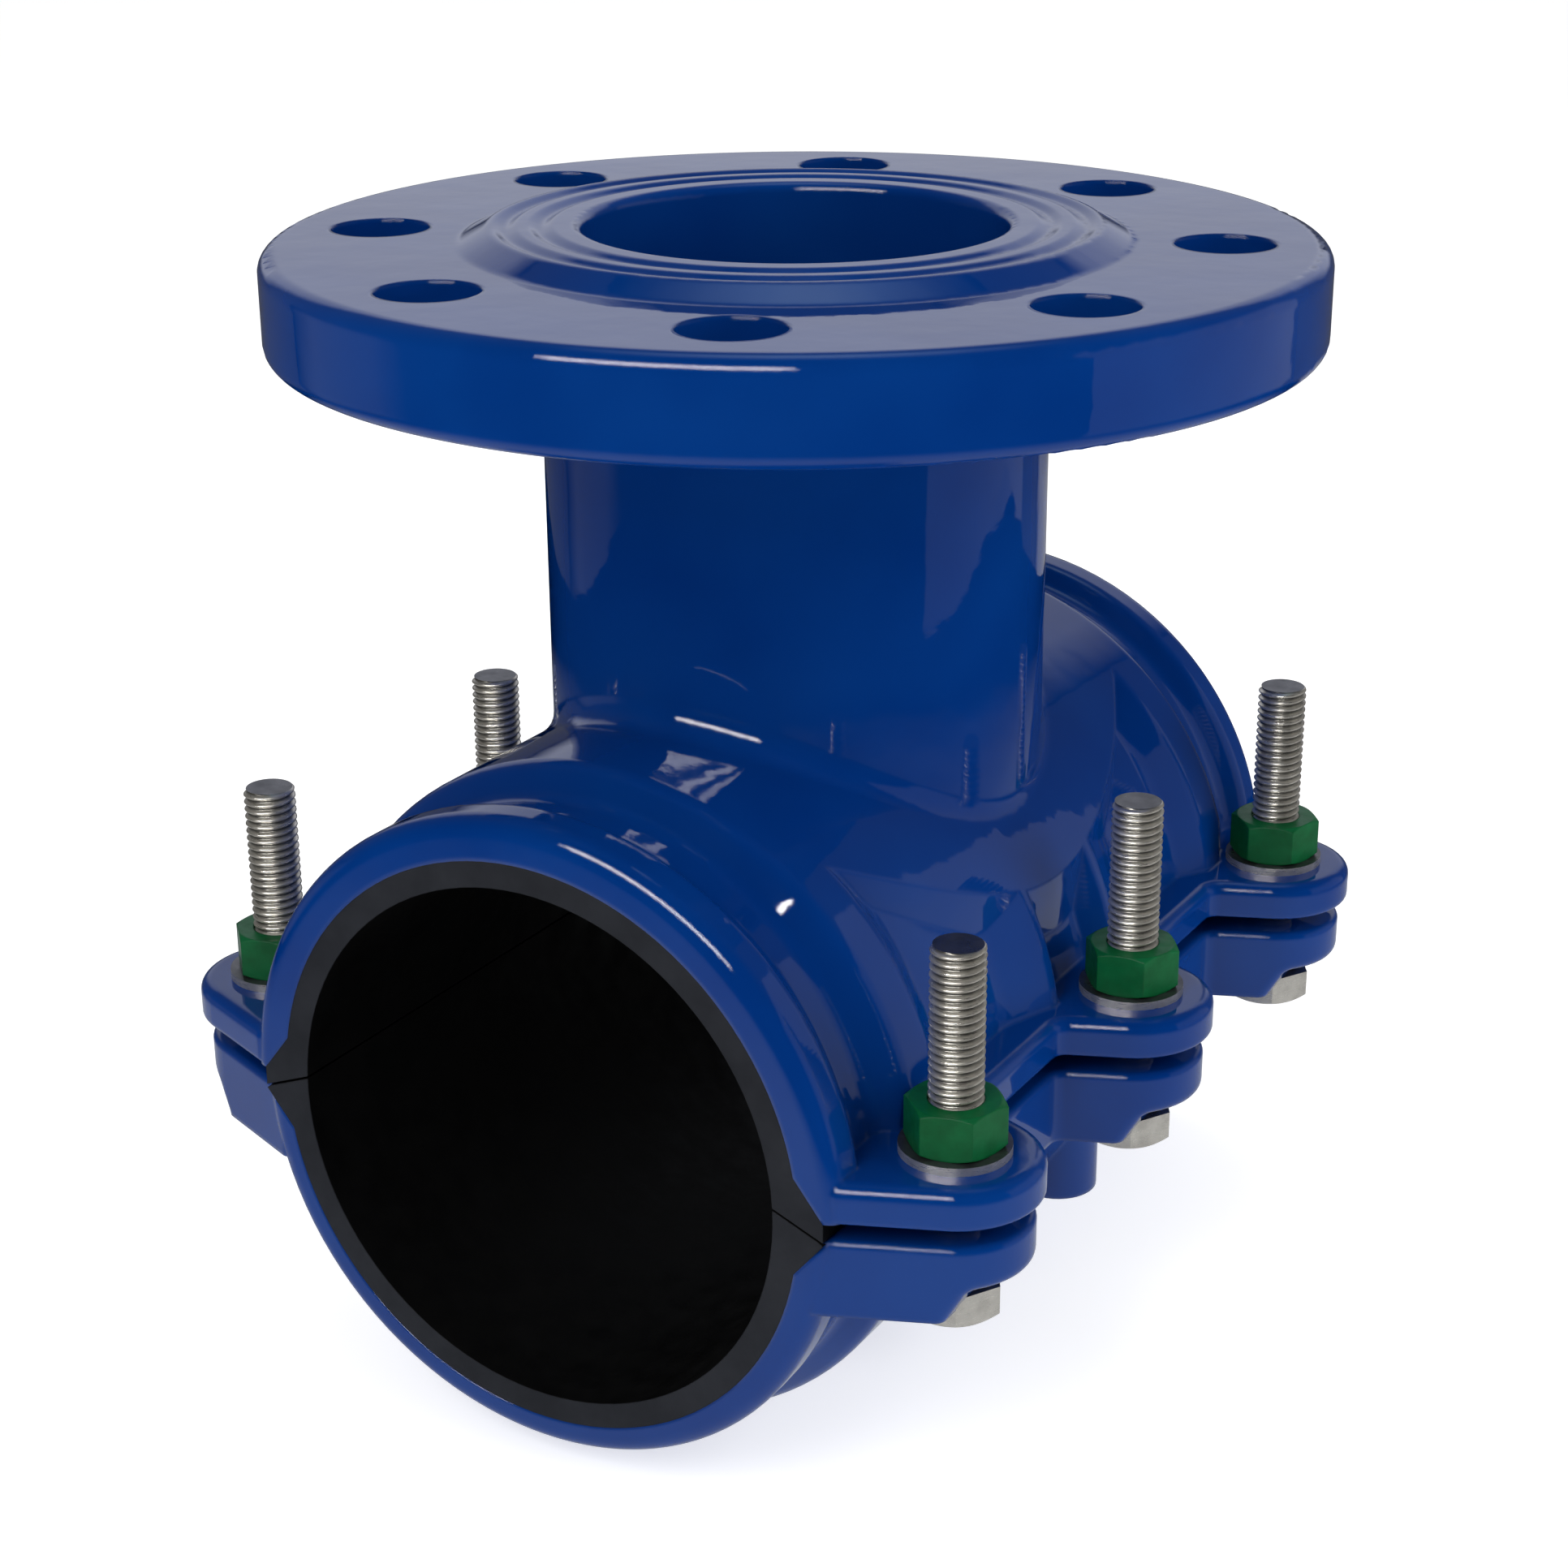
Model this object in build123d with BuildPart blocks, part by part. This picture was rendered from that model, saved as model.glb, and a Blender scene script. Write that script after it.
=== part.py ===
from build123d import *
from math import cos, radians, sin, sqrt, tan
import os

# Saddle clamp with a flanged branch, in mm.
# The origin is the middle of the saddle's bore: X across the bolts, Y along the pipe, Z up the branch.

# Branch and flange
FACE_Z = 148.4
FLANGE_R = 100.0
FLANGE_T = 19.0
FLANGE_EDGE_R = 3.2
HOLE_PCD_R = 80.0
HOLE_R = 9.5
HOLE_COUNT = 8
BRANCH_BORE_R = 40.0
MOUTH_EDGE_R = 1.8
RAISED_H = 3.0
RAISED_BASE_R = 63.3
RAISED_SLOPE = 5.7
RAISED_TOP_R = RAISED_BASE_R - RAISED_SLOPE
RAISED_EDGE_R = 1.6
RAISED_FOOT_R = 2.4
GROOVE_SHARES = (0.82, 0.44)
GROOVE_HALF_WIDTH = (RAISED_TOP_R - BRANCH_BORE_R) / 8
GROOVE_DEPTH = 0.9
GROOVE_EDGE_R = 1.0
GROOVE_FLOOR_R = 1.4
NECK_R = 48.5
NECK_TOP_R = 4.0
NECK_FOOT_R = 5.0

# Saddle shells and their linings
SADDLE_LENGTH = 194.0
HALF_LENGTH = SADDLE_LENGTH / 2
LINING_BORE_R = 50.5
LINING_T = 4.9
SHELL_BORE_R = LINING_BORE_R + LINING_T
LIP_R_UPPER = 63.4
LIP_R_LOWER = 61.2
LIP_WIDTH = 8.5
LIP_EDGE_R = 3.4
LIP_SLOPE = 4.0
VALLEY_R = 59.8
VALLEY_WIDTH = 8.0
VALLEY_EDGE_R = 4.0
BARREL_SLOPE = 5.0
BARREL_R = 65.4
RIDGE_Y = HALF_LENGTH - LIP_WIDTH - LIP_SLOPE - VALLEY_WIDTH - BARREL_SLOPE

# Pockets in the sides of the upper shell, with one rib on each side of the middle
POCKET_R = 61.0
POCKET_LAND = 10.5
POCKET_SLOPE = 7.0
POCKET_END_Y = RIDGE_Y - POCKET_LAND - POCKET_SLOPE
POCKET_EDGE_R = 4.0
POCKET_FOOT_R = 6.0
RIB_Y = 14.0
RIB_HALF_T = 1.2
RIB_EDGE_R = 1.2
RIB_INNER_SLOPE = 5.0
RIB_OUTER_SLOPE = 12.5
RIB_FOOT_R = 14.0
POCKET_MARGIN = 1.5
POCKET_SPAN = POCKET_END_Y + POCKET_SLOPE + POCKET_MARGIN
POCKET_MID_X = 58.0
POCKET_END_X = 40.3

# Parting, at rest
PARTING_GAP = 4.0
UPPER_PARTING_Z = PARTING_GAP / 2
LOWER_PARTING_Z = -PARTING_GAP / 2
FLARE_X = 60.4
FLARE_HEIGHT = 7.5
FLARE_NOSE = 1.0
FLARE_RUN_IN = 0.9
FLARE_INNER_X = LINING_BORE_R - 6.5
SEAM_INNER_Z = 2.4
SEAM_OUTER_Z = -1.6
SEAM_GAP = 0.5
SHELL_CLEARANCE = 0.3

# Bolts, nuts and washers
BOLT_X = 74.0
BOLT_INSET = 22.5
BOLT_YS = (BOLT_INSET - HALF_LENGTH, 0.0, HALF_LENGTH - BOLT_INSET)
BOLT_R = 4.95
BOLT_HOLE_R = 6.0
THREAD_CLEARANCE = 0.05
HEX_AF = 16.0
HEX_CORNER_R = HEX_AF / sqrt(3)
HEAD_H = 6.4
HEAD_CHAMFER = 1.6
NUT_H = 8.4
NUT_CHAMFER = 0.7
NUT_TURNS = (15.0, 15.0, 15.0, 15.0, 8.0, 15.0)
WASHER_R = 10.0
WASHER_T = 1.6
WASHER_CLEARANCE = 0.3
BOLT_LENGTH = 63.5
BOLT_TIP_CHAMFER = 0.5

# Lugs
UPPER_LUG_T = 7.6
LUG_TOP_Z = UPPER_PARTING_Z + UPPER_LUG_T
UPPER_EAR_R = 16.0
LOWER_EAR_R = 14.4
STRIP_X = 68.2
LOWER_STRIP_INSET = 1.0
WEB_ANGLE = 22.0
LUG_INNER_X = FLARE_INNER_X - 4.0
LUG_EDGE_R = 2.4
PARTING_EDGE_R = 1.2
LUG_ROOT_R = 3.0
LUG_END_INSET = 0.6
LUG_END_Y = HALF_LENGTH - LUG_END_INSET
SEAT_R = 11.6
LOWER_LUG_BOTTOM_Z = -16.7
HEAD_SEAT_Z = -15.0
EAR_TIP_Z = -10.2
EAR_TIP_FALL = 0.7
EAR_STEP_X = 8.0
EAR_STEP_SLOPE = 3.2
EAR_STEP_R = 1.5
EAR_TIP_R = 2.4
HEAD_CLEARANCE = 0.4
HEAD_SLOT_HALF = HEX_AF / 2 + HEAD_CLEARANCE
BOSS_R = 8.5
BOSS_X = 50.3
BOSS_Y = 20.0
BOSS_BOTTOM_Z = -48.3
BOSS_HEIGHT = 30.0

# How far cutters reach, how far joined forms run into each other, and the round on corners that a cut removes
REACH = FLANGE_R + SADDLE_LENGTH
OVERLAP = 2.0
HIDDEN_R = 0.3

os.makedirs("parts", exist_ok=True)


def hex_profile(center, turn=0.0):
    """Hexagon with two flats parallel to X, or turned from there by an angle."""
    with BuildSketch(Plane.XY.offset(center[2])) as sk:
        with Locations((center[0], center[1])):
            RegularPolygon(radius=HEX_CORNER_R, side_count=6, rotation=turn)
    return sk.sketch


def saddle_body(lip_r, pockets=()):
    """Outer form of one shell, turned about the pipe axis; pockets are outline points between the ridges."""
    y = HALF_LENGTH
    valley_y = y - LIP_WIDTH - LIP_SLOPE
    right = [
        (FLARE_INNER_X, y, HIDDEN_R),
        (lip_r, y, LIP_EDGE_R),
        (lip_r, y - LIP_WIDTH, LIP_EDGE_R),
        (VALLEY_R, valley_y, VALLEY_EDGE_R),
        (VALLEY_R, valley_y - VALLEY_WIDTH, VALLEY_EDGE_R),
        (BARREL_R, RIDGE_Y, VALLEY_EDGE_R),
        *pockets,
    ]
    outline = right + [(px, -py, pr) for px, py, pr in reversed(right)]
    with BuildPart() as body:
        with BuildSketch(Plane.XY):
            with BuildLine():
                FilletPolyline(*[(px, py) for px, py, _ in outline],
                               radius=[pr for _, _, pr in outline], close=True)
            make_face()
        revolve(axis=Axis.Y)
        with Locations(Location((0, 0, 0), (90, 0, 0))):
            Cylinder(FLARE_INNER_X + OVERLAP, 2 * y)
    return body.part


def lug_outline(plane, ear_r, strip_x):
    """Plan of the parting flange on the +X side: three round ears with webs that spread to the shell."""
    ye = BOLT_YS[2]
    slope = tan(radians(WEB_ANGLE))
    touch_x = BOLT_X + ear_r * sin(radians(WEB_ANGLE))
    touch_y = ear_r * cos(radians(WEB_ANGLE))
    root_y = touch_y + (touch_x - strip_x) * slope
    end_x = touch_x - (LUG_END_Y - ye - touch_y) / slope
    with BuildSketch(plane) as sk:
        with BuildLine():
            half = [(touch_x, touch_y), (strip_x, root_y), (strip_x, ye - root_y), (touch_x, ye - touch_y),
                    (touch_x, ye + touch_y), (end_x, LUG_END_Y), (LUG_INNER_X, LUG_END_Y)]
            Polyline(*half, *[(px, -py) for px, py in reversed(half)], close=True)
        make_face()
        with Locations(*[(BOLT_X, by) for by in BOLT_YS]):
            Circle(ear_r)
        roots = [v for v in sk.vertices() if abs(v.X - strip_x) < 0.01]
        fillet(roots, LUG_ROOT_R)
    return sk.sketch


def both_sides(shape):
    """The shape and its mirror image across the YZ plane."""
    return [shape, shape.mirror(Plane.YZ)]


def box_between(x0, x1, y0, y1, z0, z1):
    """Box given by its limits."""
    block = Box(x1 - x0, y1 - y0, z1 - z0, mode=Mode.PRIVATE)
    return block.moved(Location(((x0 + x1) / 2, (y0 + y1) / 2, (z0 + z1) / 2)))


def pocket_region():
    """Prism outside an arc in plan, where the side of the upper shell is pocketed, on the +X side."""
    with BuildPart() as region:
        with BuildSketch(Plane.XY):
            with BuildLine():
                ThreePointArc((POCKET_END_X, -POCKET_SPAN), (POCKET_MID_X, 0), (POCKET_END_X, POCKET_SPAN))
                Polyline((POCKET_END_X, POCKET_SPAN), (REACH, POCKET_SPAN), (REACH, -POCKET_SPAN),
                         (POCKET_END_X, -POCKET_SPAN))
            make_face()
        extrude(amount=BARREL_R)
    return region.part


def seam_z(x):
    """Height of the joint between the linings at a distance x from the middle."""
    return SEAM_INNER_Z + (SEAM_OUTER_Z - SEAM_INNER_Z) * (x - LINING_BORE_R) / (FLARE_X - LINING_BORE_R)


def prism_y(points, half):
    """Prism along Y over a polygon in X and Z."""
    with BuildPart() as prism:
        with BuildSketch(Plane.XZ):
            with BuildLine():
                Polyline(*points, close=True)
            make_face()
        extrude(amount=half, both=True)
    return prism.part


# The flared ends of the linings, which fill the bevelled inner corners of the shells
upper_flare = prism_y([(FLARE_INNER_X, UPPER_PARTING_Z + FLARE_HEIGHT),
                       (SHELL_BORE_R - FLARE_RUN_IN, UPPER_PARTING_Z + FLARE_HEIGHT),
                       (FLARE_X, UPPER_PARTING_Z), (FLARE_X, seam_z(FLARE_X)),
                       (FLARE_INNER_X, seam_z(FLARE_INNER_X))], HALF_LENGTH)
lower_flare = prism_y([(FLARE_INNER_X, LOWER_PARTING_Z - FLARE_HEIGHT),
                       (SHELL_BORE_R - FLARE_RUN_IN, LOWER_PARTING_Z - FLARE_HEIGHT),
                       (FLARE_X, LOWER_PARTING_Z - SHELL_CLEARANCE),
                       (FLARE_X - FLARE_NOSE, seam_z(FLARE_X - FLARE_NOSE) - SEAM_GAP),
                       (FLARE_INNER_X, seam_z(FLARE_INNER_X) - SEAM_GAP)], HALF_LENGTH)

# The pockets' outline, from the end towards the middle
POCKET_OUTLINE = [
    (BARREL_R, POCKET_END_Y + POCKET_SLOPE, POCKET_EDGE_R),
    (POCKET_R, POCKET_END_Y, POCKET_FOOT_R),
    (POCKET_R, RIB_Y + RIB_HALF_T + RIB_OUTER_SLOPE, RIB_FOOT_R),
    (BARREL_R, RIB_Y + RIB_HALF_T, RIB_EDGE_R),
    (BARREL_R, RIB_Y - RIB_HALF_T, RIB_EDGE_R),
    (POCKET_R, RIB_Y - RIB_HALF_T - RIB_INNER_SLOPE, RIB_EDGE_R),
]

# Upper shell: flange, neck and upper half of the saddle in one casting
with BuildPart() as upper_shell:
    add(saddle_body(LIP_R_UPPER))
    with Locations((0, 0, FACE_Z / 2)):
        Cylinder(NECK_R, FACE_Z)
    foot = [e for e in upper_shell.edges() if e.geom_type != GeomType.CIRCLE and e.center().Z > BARREL_R / 2]
    fillet(foot, NECK_FOOT_R)
    with BuildPart(mode=Mode.PRIVATE) as pocketed_side:
        add(saddle_body(LIP_R_UPPER, POCKET_OUTLINE))
        add(pocket_region(), mode=Mode.INTERSECT)
    for side in both_sides(pocket_region()):
        add(side, mode=Mode.SUBTRACT)
    for side in both_sides(pocketed_side.part):
        add(side)
    with BuildPart(mode=Mode.PRIVATE) as upper_lugs:
        add(lug_outline(Plane.XY.offset(UPPER_PARTING_Z), UPPER_EAR_R, STRIP_X))
        extrude(amount=UPPER_LUG_T)
        outer = upper_lugs.edges().filter_by(lambda e: e.center().X > LUG_INNER_X + OVERLAP)
        rims = outer.filter_by(lambda e: abs(e.center().Z - LUG_TOP_Z) < 0.01)
        fillet(rims, LUG_EDGE_R)
        outer = upper_lugs.edges().filter_by(lambda e: e.center().X > LUG_INNER_X + OVERLAP)
        base = outer.filter_by(lambda e: abs(e.center().Z - UPPER_PARTING_Z) < 0.01)
        fillet(base, PARTING_EDGE_R)
    for side in both_sides(upper_lugs.part):
        add(side)
    with Locations(*[(sx * BOLT_X, by, LUG_TOP_Z + BOLT_LENGTH / 2) for sx in (-1, 1) for by in BOLT_YS]):
        Cylinder(SEAT_R, BOLT_LENGTH, mode=Mode.SUBTRACT)
    with BuildSketch(Plane.XZ):
        with BuildLine():
            flange_points = [(NECK_R, FACE_Z - FLANGE_T - 2 * NECK_TOP_R, HIDDEN_R),
                             (NECK_R, FACE_Z - FLANGE_T, NECK_TOP_R),
                             (FLANGE_R, FACE_Z - FLANGE_T, FLANGE_EDGE_R),
                             (FLANGE_R, FACE_Z, FLANGE_EDGE_R),
                             (RAISED_BASE_R, FACE_Z, RAISED_FOOT_R),
                             (RAISED_TOP_R, FACE_Z + RAISED_H, RAISED_EDGE_R)]
            for share in GROOVE_SHARES:
                groove_r = BRANCH_BORE_R + share * (RAISED_TOP_R - BRANCH_BORE_R)
                flange_points += [(groove_r + GROOVE_HALF_WIDTH, FACE_Z + RAISED_H, GROOVE_EDGE_R),
                                  (groove_r, FACE_Z + RAISED_H - GROOVE_DEPTH, GROOVE_FLOOR_R),
                                  (groove_r - GROOVE_HALF_WIDTH, FACE_Z + RAISED_H, GROOVE_EDGE_R)]
            flange_points += [(BRANCH_BORE_R - OVERLAP, FACE_Z + RAISED_H, HIDDEN_R),
                              (BRANCH_BORE_R - OVERLAP, FACE_Z - FLANGE_T - 2 * NECK_TOP_R, HIDDEN_R)]
            FilletPolyline(*[(px, pz) for px, pz, _ in flange_points],
                           radius=[pr for _, _, pr in flange_points], close=True)
        make_face()
    revolve(axis=Axis.Z)
    with PolarLocations(HOLE_PCD_R, HOLE_COUNT, start_angle=180 / HOLE_COUNT):
        with Locations((0, 0, FACE_Z - FLANGE_T / 2)):
            Cylinder(HOLE_R, FLANGE_T + 2 * OVERLAP, mode=Mode.SUBTRACT)
    add(box_between(-REACH, REACH, -REACH, REACH, -REACH, UPPER_PARTING_Z), mode=Mode.SUBTRACT)
    with Locations(Location((0, 0, 0), (90, 0, 0))):
        Cylinder(SHELL_BORE_R, REACH, mode=Mode.SUBTRACT)
    for side in both_sides(upper_flare):
        add(side, mode=Mode.SUBTRACT)
    with Locations((0, 0, REACH / 2)):
        Cylinder(BRANCH_BORE_R, REACH, mode=Mode.SUBTRACT)
    mouth = [e for e in upper_shell.edges().filter_by(GeomType.CIRCLE)
             if abs(e.radius - BRANCH_BORE_R) < 0.01 and e.center().Z > FACE_Z]
    fillet(mouth, MOUTH_EDGE_R)
    with Locations(*[(sx * BOLT_X, by, LUG_TOP_Z) for sx in (-1, 1) for by in BOLT_YS]):
        Cylinder(BOLT_HOLE_R, 4 * UPPER_LUG_T, mode=Mode.SUBTRACT)
upper_shell.part.label = "upper_shell"
export_step(upper_shell.part, "parts/upper_shell.step")

# Lower shell: the other half of the saddle, with open slots that hold the bolt heads
with BuildPart() as lower_shell:
    add(saddle_body(LIP_R_LOWER))
    with BuildPart(mode=Mode.PRIVATE) as lower_lugs:
        add(lug_outline(Plane.XY.offset(LOWER_LUG_BOTTOM_Z), LOWER_EAR_R, STRIP_X - LOWER_STRIP_INSET))
        extrude(amount=LOWER_PARTING_Z - LOWER_LUG_BOTTOM_Z)
        with BuildSketch(Plane.XZ):
            with BuildLine():
                below_z = LOWER_LUG_BOTTOM_Z - HEAD_H
                beyond_x = BOLT_X + 2 * LOWER_EAR_R
                foot_x = BOLT_X + EAR_STEP_X - EAR_STEP_SLOPE
                FilletPolyline((foot_x, below_z), (foot_x, LOWER_LUG_BOTTOM_Z),
                               (BOLT_X + EAR_STEP_X, EAR_TIP_Z - EAR_TIP_FALL),
                               (beyond_x, EAR_TIP_Z), (beyond_x, below_z), radius=EAR_STEP_R, close=True)
            make_face()
        extrude(amount=REACH, both=True, mode=Mode.SUBTRACT)
        outer = lower_lugs.edges().filter_by(lambda e: e.center().X > LUG_INNER_X + OVERLAP)
        rims = outer.filter_by(lambda e: abs(e.center().Z - LOWER_PARTING_Z) < 0.01)
        fillet(rims, PARTING_EDGE_R)
        beyond_step = lower_lugs.edges().filter_by(lambda e: e.center().X > BOLT_X + EAR_STEP_X)
        tips = beyond_step.filter_by(lambda e: e.center().Z < EAR_TIP_Z)
        fillet(tips, EAR_TIP_R)
    for side in both_sides(lower_lugs.part):
        add(side)
    boss_z = BOSS_BOTTOM_Z + BOSS_HEIGHT / 2
    with Locations(*[(sx * BOSS_X, sy * BOSS_Y, boss_z) for sx in (-1, 1) for sy in (-1, 1)]):
        Cylinder(BOSS_R, BOSS_HEIGHT)
    for sx in (-1, 1):
        for by in BOLT_YS:
            x_in = sx * BOLT_X
            x_out = sx * (BOLT_X + 2 * LOWER_EAR_R)
            add(box_between(min(x_in, x_out), max(x_in, x_out), by - HEAD_SLOT_HALF, by + HEAD_SLOT_HALF,
                            HEAD_SEAT_Z - 2 * HEAD_H, HEAD_SEAT_Z), mode=Mode.SUBTRACT)
            with Locations((x_in, by, HEAD_SEAT_Z - HEAD_H)):
                Cylinder(HEX_CORNER_R + HEAD_CLEARANCE, 2 * HEAD_H, mode=Mode.SUBTRACT)
    add(box_between(-REACH, REACH, -REACH, REACH, LOWER_PARTING_Z, REACH), mode=Mode.SUBTRACT)
    with Locations(Location((0, 0, 0), (90, 0, 0))):
        Cylinder(SHELL_BORE_R, REACH, mode=Mode.SUBTRACT)
    for side in both_sides(lower_flare):
        add(side, mode=Mode.SUBTRACT)
    with Locations(*[(sx * BOLT_X, by, 0) for sx in (-1, 1) for by in BOLT_YS]):
        Cylinder(BOLT_HOLE_R, BOLT_LENGTH, mode=Mode.SUBTRACT)
lower_shell.part.label = "lower_shell"
export_step(lower_shell.part, "parts/lower_shell.step")

# Upper lining: rubber half shell with the branch opening and flared ends
with BuildPart() as upper_lining:
    with Locations(Location((0, 0, 0), (90, 0, 0))):
        Cylinder(SHELL_BORE_R, 2 * HALF_LENGTH)
    add(box_between(-REACH, REACH, -REACH, REACH, -REACH, SEAM_INNER_Z + SEAM_GAP), mode=Mode.SUBTRACT)
    for side in both_sides(upper_flare):
        add(side)
    with Locations(Location((0, 0, 0), (90, 0, 0))):
        Cylinder(LINING_BORE_R, REACH, mode=Mode.SUBTRACT)
    with Locations((0, 0, SHELL_BORE_R)):
        Cylinder(BRANCH_BORE_R, SHELL_BORE_R, mode=Mode.SUBTRACT)
upper_lining.part.label = "upper_lining"
export_step(upper_lining.part, "parts/upper_lining.step")

# Lower lining: rubber half shell with flared ends
with BuildPart() as lower_lining:
    with Locations(Location((0, 0, 0), (90, 0, 0))):
        Cylinder(SHELL_BORE_R, 2 * HALF_LENGTH)
    add(box_between(-REACH, REACH, -REACH, REACH, LOWER_PARTING_Z, REACH), mode=Mode.SUBTRACT)
    for side in both_sides(lower_flare):
        add(side)
    with Locations(Location((0, 0, 0), (90, 0, 0))):
        Cylinder(LINING_BORE_R, REACH, mode=Mode.SUBTRACT)
lower_lining.part.label = "lower_lining"
export_step(lower_lining.part, "parts/lower_lining.step")

# Fasteners, numbered from the front on the -X side, then from the front on the +X side
places = [(sx * BOLT_X, by) for sx in (-1, 1) for by in BOLT_YS]
NUT_BOTTOM_Z = LUG_TOP_Z + WASHER_T
for number, (bx, by) in enumerate(places, start=1):
    with BuildPart() as bolt:
        add(hex_profile((bx, by, HEAD_SEAT_Z - HEAD_H)))
        extrude(amount=HEAD_H)
        with BuildPart(mode=Mode.INTERSECT):
            with Locations((bx, by, HEAD_SEAT_Z - HEAD_H / 2)):
                Cone(HEX_CORNER_R - HEAD_CHAMFER, HEX_CORNER_R - HEAD_CHAMFER + sqrt(3) * HEAD_H, HEAD_H)
        with Locations((bx, by, HEAD_SEAT_Z + BOLT_LENGTH / 2)):
            Cylinder(BOLT_R, BOLT_LENGTH)
        tip = bolt.edges().filter_by(lambda e: abs(e.center().Z - HEAD_SEAT_Z - BOLT_LENGTH) < 0.01)
        chamfer(tip, BOLT_TIP_CHAMFER)
    bolt.part.label = f"bolt_{number}"
    export_step(bolt.part, f"parts/bolt_{number}.step")

    with BuildPart() as nut:
        add(hex_profile((bx, by, NUT_BOTTOM_Z), NUT_TURNS[number - 1]))
        extrude(amount=NUT_H)
        with BuildPart(mode=Mode.INTERSECT) as nut_blank:
            with Locations((bx, by, NUT_BOTTOM_Z + NUT_H / 2)):
                Cylinder(HEX_CORNER_R, NUT_H)
            chamfer(nut_blank.edges().filter_by(GeomType.CIRCLE), NUT_CHAMFER, sqrt(3) * NUT_CHAMFER)
        with Locations((bx, by, NUT_BOTTOM_Z + NUT_H / 2)):
            Cylinder(BOLT_R + THREAD_CLEARANCE, NUT_H, mode=Mode.SUBTRACT)
    nut.part.label = f"nut_{number}"
    export_step(nut.part, f"parts/nut_{number}.step")

    with BuildPart() as washer:
        with Locations((bx, by, LUG_TOP_Z + WASHER_T / 2)):
            Cylinder(WASHER_R, WASHER_T)
            Cylinder(BOLT_R + WASHER_CLEARANCE, WASHER_T, mode=Mode.SUBTRACT)
    washer.part.label = f"washer_{number}"
    export_step(washer.part, f"parts/washer_{number}.step")
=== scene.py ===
"""Looks of a flanged branch saddle clamp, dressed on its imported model.

The castings, linings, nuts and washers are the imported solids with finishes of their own.
The six bolts stand in for their plain solids with rolled threads and chamfered heads.
"""

import logging
import math
from dataclasses import dataclass
from enum import Enum

import bmesh
import bpy
from mathutils import Matrix, Vector


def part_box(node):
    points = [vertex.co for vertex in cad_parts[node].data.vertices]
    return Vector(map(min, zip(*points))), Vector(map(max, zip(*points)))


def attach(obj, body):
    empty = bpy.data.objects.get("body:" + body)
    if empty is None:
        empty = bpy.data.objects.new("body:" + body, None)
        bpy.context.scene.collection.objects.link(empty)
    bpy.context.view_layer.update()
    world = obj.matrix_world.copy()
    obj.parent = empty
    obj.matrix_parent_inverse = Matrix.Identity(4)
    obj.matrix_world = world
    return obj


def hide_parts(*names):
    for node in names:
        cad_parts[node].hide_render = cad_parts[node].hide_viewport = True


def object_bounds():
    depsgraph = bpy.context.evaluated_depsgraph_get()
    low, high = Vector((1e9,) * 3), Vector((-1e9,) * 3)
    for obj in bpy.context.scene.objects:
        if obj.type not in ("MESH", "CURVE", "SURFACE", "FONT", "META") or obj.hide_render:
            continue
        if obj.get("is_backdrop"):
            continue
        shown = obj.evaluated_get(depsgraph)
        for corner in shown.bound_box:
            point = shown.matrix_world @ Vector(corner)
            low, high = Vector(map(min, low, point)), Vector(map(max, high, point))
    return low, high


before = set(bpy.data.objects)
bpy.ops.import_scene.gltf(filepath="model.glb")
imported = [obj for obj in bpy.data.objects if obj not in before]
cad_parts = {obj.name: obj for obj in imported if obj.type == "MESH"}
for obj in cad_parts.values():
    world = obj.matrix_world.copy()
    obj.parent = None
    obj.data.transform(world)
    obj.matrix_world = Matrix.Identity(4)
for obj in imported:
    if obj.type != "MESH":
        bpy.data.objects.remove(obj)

LOG = logging.getLogger("saddle_clamp")
MM = 0.001
FASTENERS = range(1, 7)

Socket = bpy.types.NodeSocket
Span = tuple[float, float]
Triple = tuple[float, float, float]
Colour = tuple[float, float, float]
Tint = tuple[float, float, float, float]

WHITE: Tint = (1.0, 1.0, 1.0, 1.0)
BLACK: Tint = (0.0, 0.0, 0.0, 1.0)


class Slot(Enum):
    """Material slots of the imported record."""

    CASTING = "coated_casting"
    RUBBER = "lining_rubber"
    STEEL = "bolt_steel"
    NUT = "nut_coating"


class Reach(Enum):
    """What a light acts on."""

    GLOSS = "reflections only"
    MATT = "matt light only"


class Body(Enum):
    """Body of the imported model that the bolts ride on."""

    LOWER = "lower_saddle"


# Laying nodes


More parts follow.
